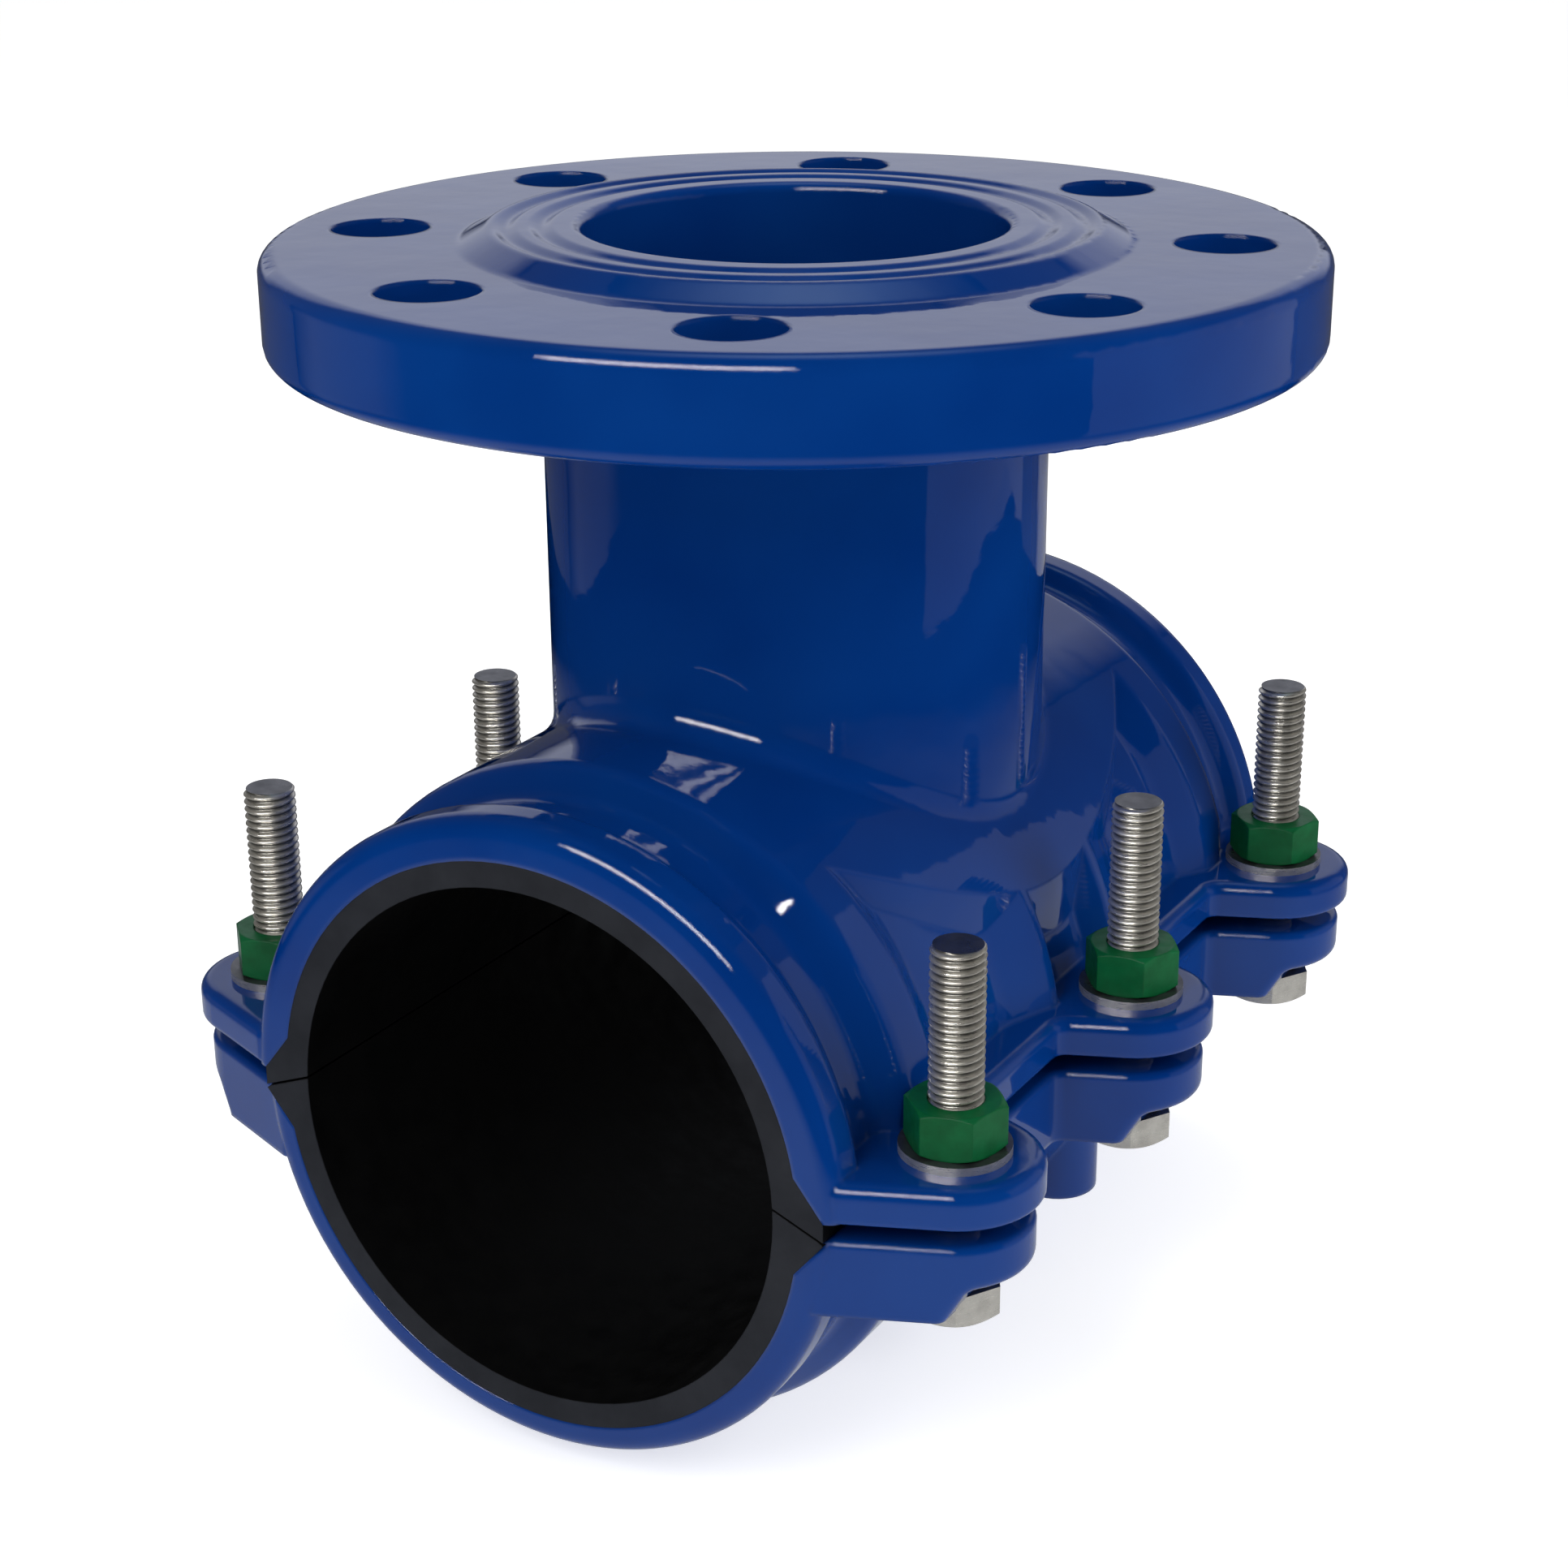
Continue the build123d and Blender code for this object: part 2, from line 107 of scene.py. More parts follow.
class NodeSketch:
    """A node tree, with short ways to lay its nodes and join them."""

    def __init__(self, tree: bpy.types.NodeTree) -> None:
        """Takes up a tree.

        Args:
            tree: The node tree to work in.
        """
        self.tree = tree

    def feed(self, node: bpy.types.Node, inputs: dict[str | int, object]) -> None:
        """Links or sets inputs of a node.

        Args:
            node: The node.
            inputs: Names or numbers of inputs, and the socket or constant that each takes.
        """
        for key, value in inputs.items():
            if isinstance(value, Socket):
                self.tree.links.new(value, node.inputs[key])
            else:
                node.inputs[key].default_value = value

    def lay(
        self, kind: str, inputs: dict[str | int, object] | None = None, **settings: object
    ) -> bpy.types.Node:
        """Lays a node.

        Args:
            kind: The node's type.
            inputs: Names or numbers of inputs, and the socket or constant that each takes.
            **settings: The node's own settings, which come before its inputs.

        Returns:
            The new node.
        """
        node = self.tree.nodes.new(kind)
        for name, value in settings.items():
            setattr(node, name, value)
        self.feed(node, inputs or {})
        return node

    def calc(self, operation: str, *values: Socket | float) -> Socket:
        """Lays a math node.

        Args:
            operation: The operation's name.
            *values: Sockets or numbers for its inputs.

        Returns:
            The result socket.
        """
        node = self.lay("ShaderNodeMath", dict(enumerate(values)), operation=operation)
        return node.outputs["Value"]

    def spread(self, source: Socket, span: Span, ends: Span) -> Socket:
        """Maps a value from one range to another.

        Args:
            source: The value to map.
            span: Lower and upper end of the range that is read.
            ends: Values at those two ends.

        Returns:
            The mapped value socket.
        """
        limits = {"From Min": span[0], "From Max": span[1], "To Min": ends[0], "To Max": ends[1]}
        return self.lay("ShaderNodeMapRange", {"Value": source, **limits}).outputs["Result"]


# Patterns that the finishes are made of


@dataclass(frozen=True)
class Grain:
    """Noise pattern: its scale per metre, its octaves, and the weight of the finer ones."""

    scale: float
    detail: float = 3.0
    rough: float = 0.5


@dataclass(frozen=True)
class Mottle:
    """Two linear colours, and the part of a pattern's range over which one turns into the other."""

    dark: Colour
    light: Colour
    span: Span = (0.3, 0.7)


@dataclass(frozen=True)
class Relief:
    """Relief too fine to model: its pattern, its strength from 0 to 1 and its depth."""

    grain: Grain
    strength: float
    depth: float


class Shader(NodeSketch):
    """A Principled material with helpers that lay its procedural nodes.

    BORDER is the width of a mask's soft border, and LEVEL the Z of a normal that counts as up.
    """

    BORDER: float = 0.05 * MM
    LEVEL: Span = (0.96, 0.99)
    EDGE_SAMPLES: int = 6

    def __init__(self, name: str) -> None:
        """Starts a material with no finish yet.

        Args:
            name: The material's name.
        """
        self.material = bpy.data.materials.new(name)
        self.material.use_nodes = True
        super().__init__(self.material.node_tree)
        self.tree.nodes.clear()
        self.bsdf = self.lay("ShaderNodeBsdfPrincipled")
        self.lay("ShaderNodeOutputMaterial", {"Surface": self.bsdf.outputs["BSDF"]})
        self.coords = self.lay("ShaderNodeTexCoord")

    def finish(self, **inputs: object) -> bpy.types.Material:
        """Links or sets inputs of the shader itself.

        Args:
            **inputs: Input names with underscores for spaces, and what each takes.

        Returns:
            The finished material.
        """
        self.feed(self.bsdf, {name.replace("_", " "): value for name, value in inputs.items()})
        return self.material

    def glow(self, tint: Tint, strength: Socket) -> bpy.types.Material:
        """Makes the surface a black one that only glows.

        Args:
            tint: Colour of the glow.
            strength: Strength of the glow.

        Returns:
            The finished material.
        """
        matt = {"Base_Color": BLACK, "Roughness": 1.0, "Specular_IOR_Level": 0.0}
        return self.finish(**matt, Emission_Color=tint, Emission_Strength=strength)

    def mapped(self, scale: Triple = (1.0, 1.0, 1.0)) -> Socket:
        """Object coordinates through a mapping.

        Args:
            scale: Scale of the pattern along X, Y and Z.

        Returns:
            The mapped vector socket.
        """
        inputs = {"Vector": self.coords.outputs["Object"], "Scale": scale}
        return self.lay("ShaderNodeMapping", inputs).outputs["Vector"]

    def noise(self, vector: Socket, grain: Grain) -> Socket:
        """Noise texture.

        Args:
            vector: The coordinates to read.
            grain: The pattern.

        Returns:
            The noise's value socket.
        """
        inputs = {"Scale": grain.scale, "Detail": grain.detail, "Roughness": grain.rough}
        return self.lay("ShaderNodeTexNoise", {"Vector": vector, **inputs}).outputs["Fac"]

    def tinted(self, source: Socket, mottle: Mottle) -> Socket:
        """Colours a value with a ramp.

        Args:
            source: The value to colour.
            mottle: The ramp's two colours and their places.

        Returns:
            The colour socket.
        """
        node = self.lay("ShaderNodeValToRGB", {"Fac": source})
        stops = zip(node.color_ramp.elements, mottle.span, (mottle.dark, mottle.light))
        for element, place, colour in stops:
            element.position = place
            element.color = (*colour, 1.0)
        return node.outputs["Color"]

    def beyond(self, axis: str, limit: float) -> Socket:
        """Mask of the surface that lies further out along an axis than a limit, on both sides.

        Args:
            axis: X, Y or Z of the object's own coordinates.
            limit: Distance from the middle, in metres.

        Returns:
            The mask, 0 inside and 1 outside.
        """
        place = self.lay("ShaderNodeSeparateXYZ", {"Vector": self.coords.outputs["Object"]})
        size = self.calc("ABSOLUTE", place.outputs[axis])
        return self.spread(size, (limit - self.BORDER, limit), (0.0, 1.0))

    def facing_up(self) -> Socket:
        """Mask of the surface that faces straight up, such as bolt ends and the tops of washers,
        where the steel paints shade.

        Returns:
            The mask, 1 where the surface is level.
        """
        facing = self.lay("ShaderNodeSeparateXYZ", {"Vector": self.coords.outputs["Normal"]})
        return self.spread(facing.outputs["Z"], self.LEVEL, (0.0, 1.0))

    def stored(self, name: str) -> Socket:
        """Value that the piece's mesh carries for each point.

        Args:
            name: The attribute's name.

        Returns:
            The attribute's value socket, 0 on a mesh without it.
        """
        return self.lay("ShaderNodeAttribute", attribute_name=name).outputs["Fac"]

    def mixed(self, mask: Socket, first: Socket, second: Socket) -> Socket:
        """Mixes two colours by a mask.

        Args:
            mask: Share of the second colour.
            first: Colour where the mask is 0.
            second: Colour where the mask is 1.

        Returns:
            The mixed colour socket.
        """
        inputs = {"Factor": mask, "A": first, "B": second}
        return self.lay("ShaderNodeMix", inputs, data_type="RGBA").outputs["Result"]

    def bump(self, height: Socket, relief: Relief, onto: Socket | None = None) -> Socket:
        """Bump node.

        Args:
            height: The height socket.
            relief: The relief's strength and depth.
            onto: Normal of an earlier bump, if there is one.

        Returns:
            The normal socket.
        """
        inputs = {"Height": height, "Strength": relief.strength, "Distance": relief.depth}
        if onto is not None:
            inputs["Normal"] = onto
        return self.lay("ShaderNodeBump", inputs).outputs["Normal"]

    def relief(self, vector: Socket, relief: Relief, onto: Socket) -> Socket:
        """Bump made by the relief's own pattern.

        Args:
            vector: The coordinates to read.
            relief: The relief.
            onto: Normal of an earlier bump.

        Returns:
            The normal socket.
        """
        return self.bump(self.noise(vector, relief.grain), relief, onto)

    def soft_edge(self, radius: float) -> Socket:
        """Normal that rounds sharp edges, as a thick coat does.

        Args:
            radius: Radius of the rounding in metres.

        Returns:
            The normal socket.
        """
        node = self.lay("ShaderNodeBevel", {"Radius": radius}, samples=self.EDGE_SAMPLES)
        return node.outputs["Normal"]


# Finishes


@dataclass(frozen=True)
class EpoxyCoat:
    """Thick glossy blue coating over a cast surface."""

    colour: Mottle = Mottle((0.0006, 0.0255, 0.160), (0.0012, 0.0335, 0.189), (0.35, 0.68))
    drift: Grain = Grain(28, 2.0)
    patches: Grain = Grain(55)
    patch_span: Span = (0.3, 0.75)
    rough: Span = (0.018, 0.05)
    ior: float = 1.5
    waves: Relief = Relief(Grain(42, 2.5), 0.24, 0.9 * MM)
    peel: Relief = Relief(Grain(420, 2.0, 0.4), 0.08, 0.10 * MM)
    edge_radius: float = 1.3 * MM

    def material(self) -> bpy.types.Material:
        """Builds the coating: colour drift, orange peel and slow waves of the casting.

        Returns:
            The material.
        """
        shader = Shader("blue_epoxy_coat")
        plain = shader.mapped()
        patches = shader.noise(plain, self.patches)
        waves = shader.relief(plain, self.waves, shader.soft_edge(self.edge_radius))
        return shader.finish(
            Base_Color=shader.tinted(shader.noise(plain, self.drift), self.colour),
            Roughness=shader.spread(patches, self.patch_span, self.rough),
            IOR=self.ior,
            Normal=shader.relief(plain, self.peel, waves),
        )


@dataclass(frozen=True)
class MouldedRubber:
    """Matt black rubber with a fine moulded grain, painted far darker in the bore than on its cut
    ends as painted shade inside the pipe.
    """

    # painted shade: the bore's colour stands in for the shade inside the pipe
    painted_bore_shade: Mottle = Mottle((0.0012, 0.0012, 0.0013), (0.0024, 0.0024, 0.0026), (0.35, 0.72))
    ends: Mottle = Mottle((0.0115, 0.0130, 0.0175), (0.0185, 0.0205, 0.0265), (0.35, 0.72))
    end_y: float = 96.9 * MM
    bloom: Grain = Grain(70, 4.0, 0.6)
    patches: Grain = Grain(190)
    patch_span: Span = (0.3, 0.7)
    rough: Span = (0.55, 0.75)
    ior: float = 1.4
    specular: float = 0.18
    grain: Relief = Relief(Grain(2400, 2.0), 0.25, 0.06 * MM)
    wipes: Relief = Relief(Grain(9, 2.0), 0.08, 0.2 * MM)
    wipe_scale: Triple = (30.0, 1.0, 30.0)
    edge_radius: float = 0.5 * MM

    def material(self) -> bpy.types.Material:
        """Builds the rubber: bloom patches, cut ends, painted shade in the bore, and grain with
        faint wipe marks.

        Returns:
            The material.
        """
        shader = Shader("black_lining_rubber")
        plain = shader.mapped()
        bloom = shader.noise(plain, self.bloom)
        painted_bore_shade, ends = (shader.tinted(bloom, mottle) for mottle in (self.painted_bore_shade, self.ends))
        patches = shader.noise(plain, self.patches)
        grain = shader.relief(plain, self.grain, shader.soft_edge(self.edge_radius))
        return shader.finish(
            # the bore takes painted shade, the cut ends keep the rubber's own grey
            Base_Color=shader.mixed(shader.beyond("Y", self.end_y), painted_bore_shade, ends),
            Roughness=shader.spread(patches, self.patch_span, self.rough),
            IOR=self.ior,
            Specular_IOR_Level=self.specular,
            Normal=shader.relief(shader.mapped(self.wipe_scale), self.wipes, grain),
        )


@dataclass(frozen=True)
class RolledSteel:
    """Bright stainless steel with rolling and turning marks, with painted shade in the thread
    grooves and on level faces such as bolt ends and washer tops.
    """

    crests: Mottle = Mottle((0.56, 0.53, 0.475), (0.78, 0.745, 0.67))
    # painted shade for the thread grooves
    painted_groove_shade: Mottle = Mottle((0.075, 0.073, 0.066), (0.15, 0.145, 0.13))
    # painted shade for level faces: bolt ends and washer tops
    painted_top_shade: Mottle = Mottle((0.075, 0.078, 0.085), (0.14, 0.14, 0.15))
    patches: Grain = Grain(260, 4.0, 0.6)
    groove_shade_span: Span = (0.45, 1.0)
    marks: Relief = Relief(Grain(320), 0.05, 0.03 * MM)
    mark_scale: Triple = (1.0, 1.0, 16.0)
    mark_span: Span = (0.3, 0.7)
    rough: Span = (0.24, 0.40)
    metallic: float = 0.85

    def material(self) -> bpy.types.Material:
        """Builds the steel: tone patches, painted shade in the thread grooves and on level faces,
        and marks that run round it.

        Returns:
            The material.
        """
        shader = Shader("stainless_steel")
        patches = shader.noise(shader.mapped(), self.patches)
        mottles = (self.crests, self.painted_groove_shade, self.painted_top_shade)
        crests, painted_groove_shade, painted_top_shade = (shader.tinted(patches, mottle) for mottle in mottles)
        # painted shade: the stored groove share darkens the thread grooves to near-black steel
        groove_shade_mask = shader.spread(shader.stored("groove"), self.groove_shade_span, (0.0, 1.0))
        threads_with_painted_shade = shader.mixed(groove_shade_mask, crests, painted_groove_shade)
        marks = shader.noise(shader.mapped(self.mark_scale), self.marks.grain)
        return shader.finish(
            # painted shade: every face that looks straight up, bolt ends and washer tops alike, is
            # painted dark
            Base_Color=shader.mixed(shader.facing_up(), threads_with_painted_shade, painted_top_shade),
            Roughness=shader.spread(marks, self.mark_span, self.rough),
            Metallic=self.metallic,
            Normal=shader.bump(marks, self.marks),
        )


@dataclass(frozen=True)
class NutCoat:
    """Satin green dry-film coating on a hexagon nut."""

    colour: Mottle = Mottle((0.0008, 0.074, 0.020), (0.0018, 0.112, 0.033), (0.3, 0.72))
    cloud: Grain = Grain(240, 4.0, 0.6)
    patches: Grain = Grain(500)
    patch_span: Span = (0.3, 0.7)
    rough: Span = (0.28, 0.42)
    ior: float = 1.45
    specular: float = 0.22
    spray: Relief = Relief(Grain(1600, 2.0), 0.18, 0.05 * MM)
    edge_radius: float = 0.45 * MM

    def material(self) -> bpy.types.Material:
        """Builds the coating: mottled colour, satin gloss and a fine sprayed grain.

        Returns:
            The material.
        """
        shader = Shader("green_nut_coat")
        plain = shader.mapped()
        patches = shader.noise(plain, self.patches)
        return shader.finish(
            Base_Color=shader.tinted(shader.noise(plain, self.cloud), self.colour),
            Roughness=shader.spread(patches, self.patch_span, self.rough),
            IOR=self.ior,
            Specular_IOR_Level=self.specular,
            Normal=shader.relief(plain, self.spray, shader.soft_edge(self.edge_radius)),
        )


@dataclass(frozen=True)
class PaleFloor:
    """Plain pale studio sweep, lit from within so that it stays white to its edges."""

    colour: Mottle = Mottle((0.8471, 0.8471, 0.8471), (0.86, 0.86, 0.86))
    drift: Grain = Grain(3.0, 2.0)
    rough: float = 0.9
    specular: float = 0.1
    shine: float = 0.58

    def material(self) -> bpy.types.Material:
        """Builds the matt floor with a barely visible mottle.

        Returns:
            The material.
        """
        shader = Shader("pale_floor")
        return shader.finish(
            Base_Color=shader.tinted(shader.noise(shader.mapped(), self.drift), self.colour),
            Roughness=self.rough,
            Specular_IOR_Level=self.specular,
            Emission_Color=WHITE,
            Emission_Strength=self.shine,
        )


@dataclass(frozen=True)
class WhiteSheet:
    """White sheet round the object, that fades out before its rim."""

    fade_span: Span = (0.24, 0.42)
    glare: float = 0.52
    tint: Tint = (0.92, 0.95, 1.0, 1.0)

    def material(self) -> bpy.types.Material:
        """Builds the sheet: a light grey glow that fades with the distance from the middle.

        Returns:
            The material.
        """
        shader = Shader("white_sheet")
        level = shader.mapped((1.0, 1.0, 0.0))
        size = shader.lay("ShaderNodeVectorMath", {0: level}, operation="LENGTH")
        fade = shader.spread(size.outputs["Value"], self.fade_span, (self.glare, 0.0))
        return shader.glow(self.tint, fade)


class Finishes:
    """One material per slot, made once and shared by the pieces."""

    def __init__(self) -> None:
        """Builds each finish."""
        self.by_slot: dict[Slot, bpy.types.Material] = {
            Slot.CASTING: EpoxyCoat().material(),
            Slot.RUBBER: MouldedRubber().material(),
            Slot.STEEL: RolledSteel().material(),
            Slot.NUT: NutCoat().material(),
        }

    def dress(self, piece: bpy.types.Object, slot: Slot) -> None:
        """Gives a piece one finish.

        Args:
            piece: The object to dress.
            slot: The finish that it takes.
        """
        piece.data.materials.clear()
        piece.data.materials.append(self.by_slot[slot])


# Sub-assemblies


@dataclass
class PackedSolids:
    """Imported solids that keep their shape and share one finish."""

    nodes: tuple[str, ...]
    slot: Slot

    def dress(self, finishes: Finishes) -> None:
        """Puts the finish on each solid.

        Args:
            finishes: The shared finishes.
        """
        for node in self.nodes:
            finishes.dress(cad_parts[node], self.slot)
            LOG.info("%s: packed solid, finish of %s", node, self.slot.value)


@dataclass
class Castings(PackedSolids):
    """Both shells of the saddle, with the neck and flange in the upper one."""

    nodes: tuple[str, ...] = ("upper_shell", "lower_shell")
    slot: Slot = Slot.CASTING


@dataclass
class Linings(PackedSolids):
    """Rubber linings of both halves."""

    nodes: tuple[str, ...] = ("upper_lining", "lower_lining")
    slot: Slot = Slot.RUBBER


@dataclass
class Nuts(PackedSolids):
    """The coated nuts, each on its own body."""

    nodes: tuple[str, ...] = tuple(f"nut_{number}" for number in FASTENERS)
    slot: Slot = Slot.NUT


@dataclass
class Washers(PackedSolids):
    """The flat washers under the nuts."""

    nodes: tuple[str, ...] = tuple(f"washer_{number}" for number in FASTENERS)
    slot: Slot = Slot.STEEL


class BoltTree(NodeSketch):
    """Geometry nodes that thread one shank, join its head and set the six bolts out.

    ROOT_WIDTH is the share of the thread's form that is groove, and FLANK_SLOPE its rise.
    A face whose normal has a Z of LEVEL_FACE or more, up or down, is shaded flat.
    """

    SIZES: tuple[str, ...] = (
        "Row X", "Row Y", "Head Bottom", "Head Height", "Length",
        "Thread Radius", "Root Radius", "Pitch", "Chamfer",
    )
    COUNTS: tuple[str, ...] = ("Columns", "Rows")
    ROOT_WIDTH: float = 0.10
    FLANK_SLOPE: float = 1.30
    LEVEL_FACE: float = 0.95
    BOLTS_ACROSS: int = 2
    BOLTS_ALONG: int = 3

    def __init__(self) -> None:
        """Lays the whole tree, with its sizes as named inputs."""
        super().__init__(bpy.data.node_groups.new("threaded_bolts", "GeometryNodeTree"))
        self.declare()
        self.given = self.lay("NodeGroupInput").outputs
        shank, head = self.shank(), self.head()
        bolt = self.lay("GeometryNodeJoinGeometry")
        for part in (shank, head):
            self.feed(bolt, {"Geometry": part})
        bolts = self.set_out(bolt.outputs["Geometry"])
        inputs = {"Geometry": bolts, "Material": self.given["Finish"]}
        dressed = self.lay("GeometryNodeSetMaterial", inputs)
        self.lay("NodeGroupOutput", {"Geometry": dressed.outputs["Geometry"]})

    def declare(self) -> None:
        kinds = {name: "Float" for name in self.SIZES} | {name: "Int" for name in self.COUNTS}
        for name, kind in {"Geometry": "Geometry", **kinds, "Finish": "Material"}.items():
            self.tree.interface.new_socket(name, in_out="INPUT", socket_type=f"NodeSocket{kind}")
        self.tree.interface.new_socket(
            "Geometry", in_out="OUTPUT", socket_type="NodeSocketGeometry")

    def crest(self, height: Socket, turn: Socket) -> Socket:
        """Form of the thread, as a ridge that winds up the shank.

        Args:
            height: Height over the shank's foot.
            turn: Angle round the shank.

        Returns:
            The form, from 0 in the groove to 1 on the crest.
        """
        share = self.calc("DIVIDE", turn, 2 * math.pi)
        turns = self.calc("SUBTRACT", self.calc("DIVIDE", height, self.given["Pitch"]), share)
        phase = self.calc("MULTIPLY", self.calc("FRACT", turns), 2.0)
        flank = self.calc("ABSOLUTE", self.calc("SUBTRACT", phase, 1.0))
        proud = self.calc("SUBTRACT", flank, self.ROOT_WIDTH)
        rise = self.calc("MULTIPLY", proud, self.FLANK_SLOPE)
        return self.lay("ShaderNodeClamp", {"Value": rise}).outputs["Result"]

    def radius(self, height: Socket, crest: Socket) -> Socket:
        """Radius of the shank, threaded and with a chamfered tip.

        Args:
            height: Height over the shank's foot.
            crest: Form of the thread.

        Returns:
            The radius socket.
        """
        outer, root = self.given["Thread Radius"], self.given["Root Radius"]
        depth = self.calc("SUBTRACT", outer, root)
        thread = self.calc("ADD", root, self.calc("MULTIPLY", crest, depth))
        from_tip = self.calc("SUBTRACT", self.given["Length"], height)
        cut = self.calc("SUBTRACT", self.given["Chamfer"], from_tip)
        return self.calc("MINIMUM", thread, self.calc("SUBTRACT", outer, cut))

    def shank(self) -> Socket:
        """Threaded shank, shaped from a cylinder of radius 1 that has no middle points.

        Returns:
            The shank's geometry, where each point carries its share of groove, which the steel
            reads to paint shade into the grooves.
        """
        given = self.given
        blank = self.lay("GeometryNodeMeshCylinder", {
            "Vertices": given["Columns"],
            "Side Segments": given["Rows"],
            "Radius": 1.0,
            "Depth": given["Length"],
        })
        position = self.lay("GeometryNodeInputPosition").outputs["Position"]
        place = self.lay("ShaderNodeSeparateXYZ", {"Vector": position}).outputs
        half = self.calc("MULTIPLY", given["Length"], 0.5)
        height = self.calc("ADD", place["Z"], half)
        crest = self.crest(height, self.calc("ARCTAN2", place["Y"], place["X"]))
        radius = self.radius(height, crest)
        foot = self.calc("ADD", height, given["Head Bottom"])
        shape = self.lay("ShaderNodeCombineXYZ", {
            "X": self.calc("MULTIPLY", place["X"], radius),
            "Y": self.calc("MULTIPLY", place["Y"], radius),
            "Z": self.calc("ADD", foot, given["Head Height"]),
        })
        # the groove share is stored for the steel's painted groove shade
        marked = self.lay(
            "GeometryNodeStoreNamedAttribute",
            {"Geometry": blank.outputs["Mesh"], "Name": "groove"},
            data_type="FLOAT", domain="POINT",
        )
        worth = next(entry for entry in marked.inputs if entry.name == "Value" and entry.enabled)
        self.tree.links.new(self.calc("SUBTRACT", 1.0, crest), worth)
        moved = self.lay("GeometryNodeSetPosition", {
            "Geometry": marked.outputs["Geometry"],
            "Position": shape.outputs["Vector"],
        })
        normal = self.lay("GeometryNodeInputNormal").outputs["Normal"]
        facing = self.lay("ShaderNodeSeparateXYZ", {"Vector": normal}).outputs["Z"]
        rounded = self.calc("LESS_THAN", self.calc("ABSOLUTE", facing), self.LEVEL_FACE)
        inputs = {"Geometry": moved.outputs["Geometry"], "Shade Smooth": rounded}
        return self.lay("GeometryNodeSetShadeSmooth", inputs).outputs["Geometry"]

    def head(self) -> Socket:
        """The object's own mesh, which is one head, lifted to its place.

        Returns:
            The head's geometry.
        """
        rise = self.lay("ShaderNodeCombineXYZ", {"Z": self.given["Head Bottom"]})
        inputs = {"Geometry": self.given["Geometry"], "Translation": rise.outputs["Vector"]}
        return self.lay("GeometryNodeTransform", inputs).outputs["Geometry"]

    def set_out(self, bolt: Socket) -> Socket:
        """Sets one bolt out at every corner of the grid of bolts.

        Args:
            bolt: Geometry of one bolt.

        Returns:
            The bolts as real geometry.
        """
        grid = self.lay("GeometryNodeMeshGrid", {
            "Size X": self.calc("MULTIPLY", self.given["Row X"], 2.0),
            "Size Y": self.calc("MULTIPLY", self.given["Row Y"], 2.0),
            "Vertices X": self.BOLTS_ACROSS,
            "Vertices Y": self.BOLTS_ALONG,
        })
        inputs = {"Points": grid.outputs["Mesh"], "Instance": bolt}
        copies = self.lay("GeometryNodeInstanceOnPoints", inputs).outputs["Instances"]
        return self.lay("GeometryNodeRealizeInstances", {"Geometry": copies}).outputs["Geometry"]


